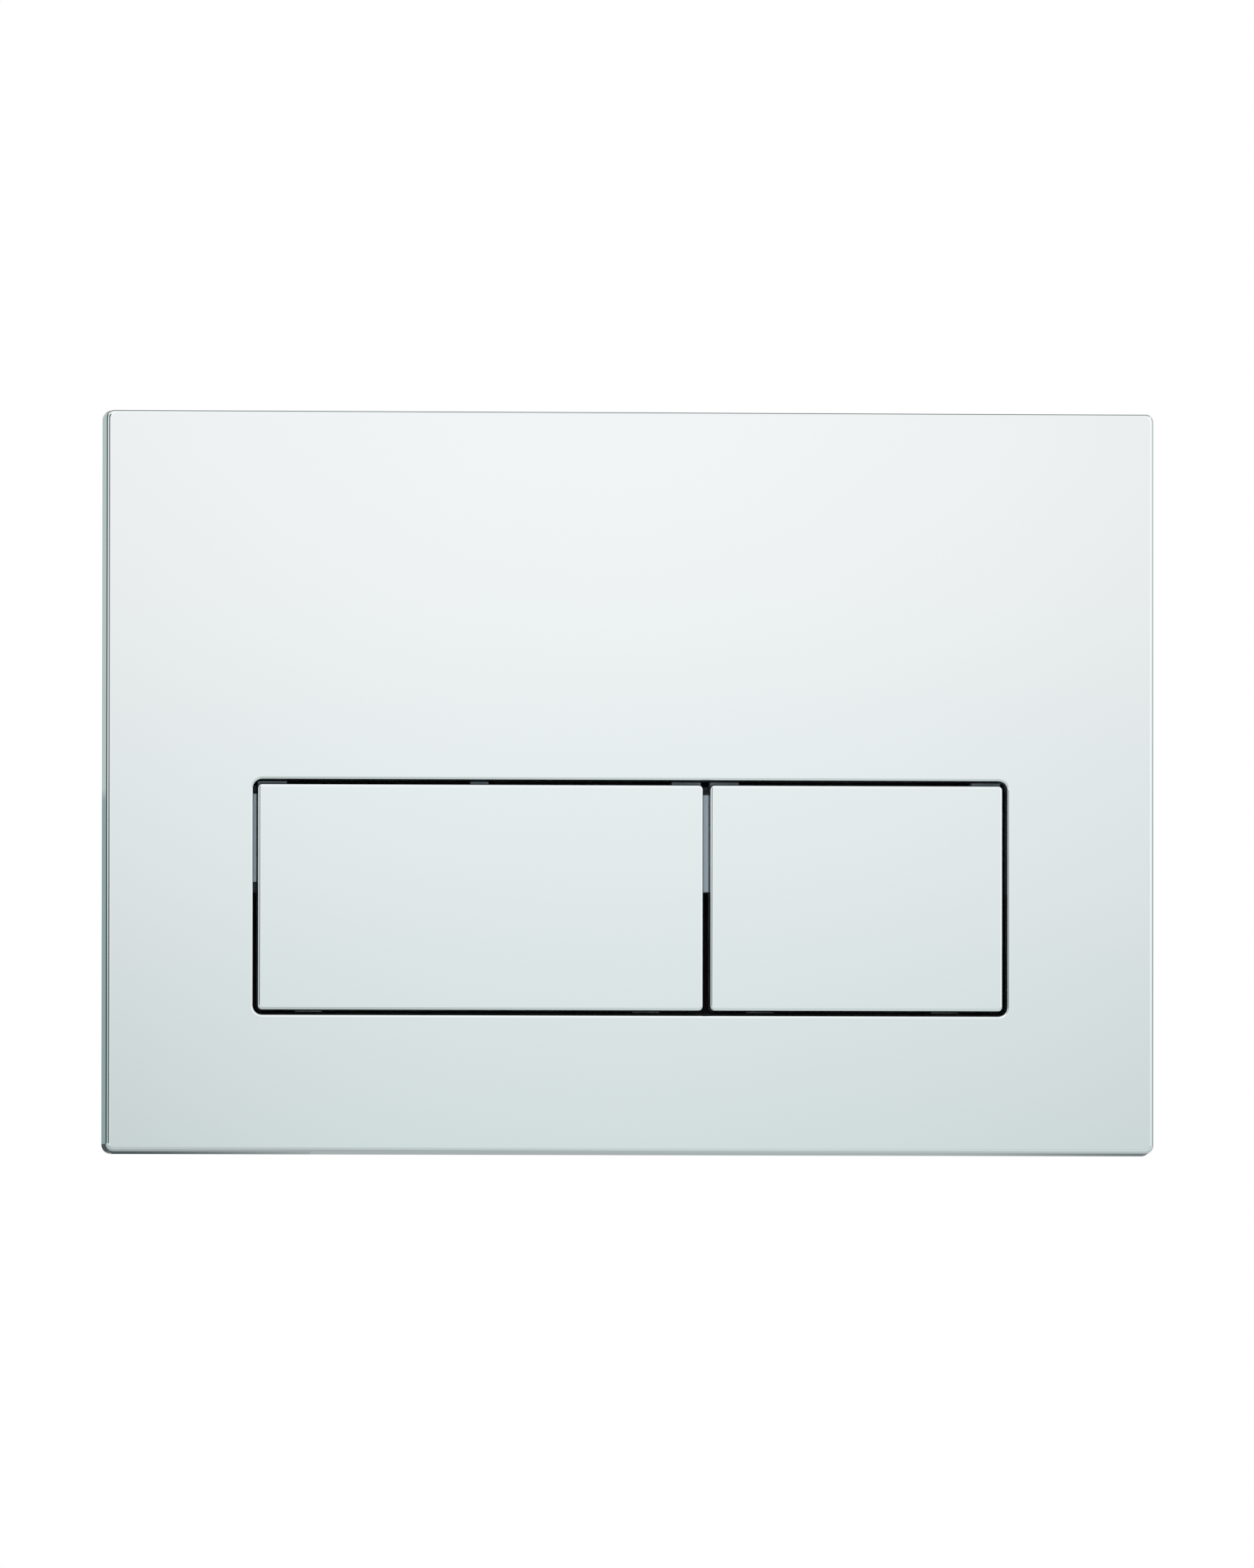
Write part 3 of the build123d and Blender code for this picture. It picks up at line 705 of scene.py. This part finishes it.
frontCard = {
    "distance": 1.0, "left": -0.38, "right": 2.6, "bottom": -0.2, "top": 1.6,
    "peak": 1.012, "fall": 0.205, "fallPower": 1.5, "least": 0.42,
    "fallFrom": 0.1322, "fallSpan": 0.1899,  # heights on the card that the plate's face mirrors
    "middle": 0.0590, "halfWidth": 0.1309, "dip": 0.045, "lowLeftDip": 0.047, "dipTo": 1.15,
    "leftEnd": (-0.074, -0.10), "rightEnd": (0.45, 0.62),  # beyond what the face mirrors
    "rightFade": (0.5, 1.4), "endGlow": 1.08,
    "upper": (1.022, 1.0, 1.0), "lower": (0.93, 1.0, 1.01), "tintChange": (0.12, 1.1),
}


def gradedCard(spec):  # pale at the top and greyer downwards, as the plate's face shows it
    finish, wire, place = newFinish("frontCard")
    across = place.split()
    down = (spec["fallFrom"] - across.other("Z")) / spec["fallSpan"]
    down = wire.calc("MAXIMUM", down, 0.0)
    aside = wire.node("ShaderNodeClamp", None, {
        0: (across - spec["middle"]) / spec["halfWidth"], 1: -spec["dipTo"], 2: spec["dipTo"],
    })
    toLeft = wire.calc("MAXIMUM", 0.0 - aside, 0.0)
    glow = spec["peak"] - down ** spec["fallPower"] * spec["fall"] - aside * aside * spec["dip"]
    glow = glow - toLeft * toLeft * down * spec["lowLeftDip"]
    glow = wire.calc("MAXIMUM", glow, spec["least"])
    rightEnd = across.remap(*spec["rightEnd"]) * (1.0 - down.remap(*spec["rightFade"]))
    glow = glow + (spec["endGlow"] - glow) * (across.remap(*spec["leftEnd"]) + rightEnd)
    tint = down.remap(*spec["tintChange"], smooth=False).mixColour(spec["upper"], spec["lower"])
    y = -spec["distance"]
    corners = uprightCorners({
        "ground": ((spec["left"], y), (spec["right"], y)),
        "heights": (spec["bottom"], spec["top"]),
    })
    closeCard(finish, wire, corners, tint, glow)


lowCard = {
    "x": (-1.2, 2.6), "y": (-1.0, 0.9), "height": -0.19, "tint": (0.93, 1.0, 1.0),
    "left": 0.61, "right": 0.75, "change": (-0.08, 0.06),  # under the plate's two ends
    "frontFade": (-0.45, -1.0), "frontLoss": 0.34, "backFade": (-0.12, -0.02), "backLoss": 0.27,
    "leftGain": (-0.35, -1.1), "rightGain": (0.35, 1.3), "gain": 0.28,
}


def floorGlow(spec):  # for the lower edges: paler to the sides, darker to the front and back
    finish, wire, place = newFinish("lowCard")
    across = place.split()
    depth = across.other("Y")
    glow = across.remap(*spec["change"], spec["left"], spec["right"])
    glow = glow * (1.0 - depth.remap(*spec["frontFade"]) * spec["frontLoss"])
    glow = glow * (1.0 - depth.remap(*spec["backFade"]) * spec["backLoss"])
    sides = across.remap(*spec["leftGain"]) + across.remap(*spec["rightGain"])
    closeCard(finish, wire, levelCorners(spec), spec["tint"], glow + sides * spec["gain"])


def tones(upper, lower=None, change=(-1.0, 1.0), along="Z"):  # lower or left, upper or right
    return {"upper": upper, "lower": lower or upper, "change": change, "along": along}


uprightCards = {
    "leftFlag": {
        "ground": ((-0.647, -1.968), (-1.495, -1.168)), "heights": (-0.055, 1.24),
        **tones((0.085, 0.11, 0.11), (0.006, 0.012, 0.014), (-0.005, 0.135)),
    },
    "leftCard": {
        "ground": ((-0.806, -0.590), (-1.1146, -0.082)), "heights": (-0.19, 0.62),
        **tones((0.98, 1.0, 1.0), (0.58, 0.63, 0.63), (-0.04, 0.05)),
    },
    "leftBackFlag": {
        "ground": ((-1.1146, -0.082), (-0.36, 1.0)), "heights": (-0.19, 0.62),
        **tones((0.09, 0.12, 0.12), (0.06, 0.085, 0.085), (-0.04, 0.08)),
    },
    "backCardLeft": {
        "ground": ((-0.36, 0.9), (-0.12, 0.9)), "heights": (-0.075, 0.30),
        **tones((0.47, 0.55, 0.54), (0.28, 0.37, 0.37), (0.028, 0.032)),
    },
    "backLowLeft": {
        "ground": ((-0.36, 0.9), (-0.02, 0.9)), "heights": (-0.19, -0.075),
        **tones((0.40, 0.44, 0.44), (0.07, 0.09, 0.095), (-0.075, 0.0), "X"),
    },
    "backLowRight": {
        "ground": ((-0.02, 0.9), (1.1, 0.9)), "heights": (-0.19, 0.14),
        **tones((0.16, 0.19, 0.19), (0.40, 0.44, 0.44), (0.14, 0.21), "X"),
    },
    "backFlagTop": {
        "ground": ((-1.2, 0.95), (1.2, 0.95)), "heights": (0.14, 1.6),
        **tones((0.22, 0.24, 0.24)),
    },
    "rightFlag": {
        "ground": ((1.0, -0.315), (0.35, 1.2)), "heights": (-0.19, 0.62),
        **tones((0.60, 0.64, 0.64), (0.40, 0.44, 0.44), (-0.05, 0.13)),
    },
}
overheadFlag = {
    "x": (-1.2, 1.2), "y": (0.28, 0.95), "height": 1.6, **tones((0.22, 0.24, 0.24)),
}


def shadedCard(name, corners, spec):  # one or two shades, with a soft change between them
    finish, wire, place = newFinish(name)
    along = place.split().other(spec["along"])
    tint = along.remap(*spec["change"]).mixColour(spec["lower"], spec["upper"])
    closeCard(finish, wire, corners, tint)


lamps = {
    "keyLamp": {"place": (-0.15, -2.1, 1.7), "size": 1.2, "power": 30.0},
    "fillLamp": {"place": (1.5, -1.0, 0.9), "size": 1.4, "power": 10.0},
    "backLamp": {"place": (0.7, 1.8, 1.3), "size": 1.2, "power": 20.0},
}


def softLamp(name, spec):
    lamp = bpy.data.lights.new(name, "AREA")
    lamp.shape = "SQUARE"
    lamp.size = spec["size"]
    lamp.energy = spec["power"]
    holder = bpy.data.objects.new(name, lamp)
    holder.location = spec["place"]
    holder.rotation_euler = (-Vector(spec["place"])).to_track_quat("-Z", "Y").to_euler()
    holder.visible_glossy = False
    bpy.context.scene.collection.objects.link(holder)


whiteWorld(studio)
paleFloor(studio)
gradedCard(frontCard)
floorGlow(lowCard)
for name, spec in uprightCards.items():
    shadedCard(name, uprightCorners(spec), spec)
shadedCard("overheadFlag", levelCorners(overheadFlag), overheadFlag)
for name, spec in lamps.items():
    softLamp(name, spec)
print("studio set up")

view = {
    "place": (-0.3514, -5.0, -0.1838), "pitch": 92.10, "roll": -0.052, "yaw": -4.022,
    "lens": 515.5, "sensor": 36.0,
}
lens = bpy.data.cameras.new("viewCamera")
lens.lens = view["lens"]
lens.sensor_width = view["sensor"]
camera = bpy.data.objects.new("viewCamera", lens)
camera.location = view["place"]
camera.rotation_euler = [math.radians(view[turn]) for turn in ("pitch", "roll", "yaw")]
bpy.context.scene.collection.objects.link(camera)
bpy.context.scene.camera = camera
bpy.context.scene.view_settings.view_transform = "Standard"
print("camera set")
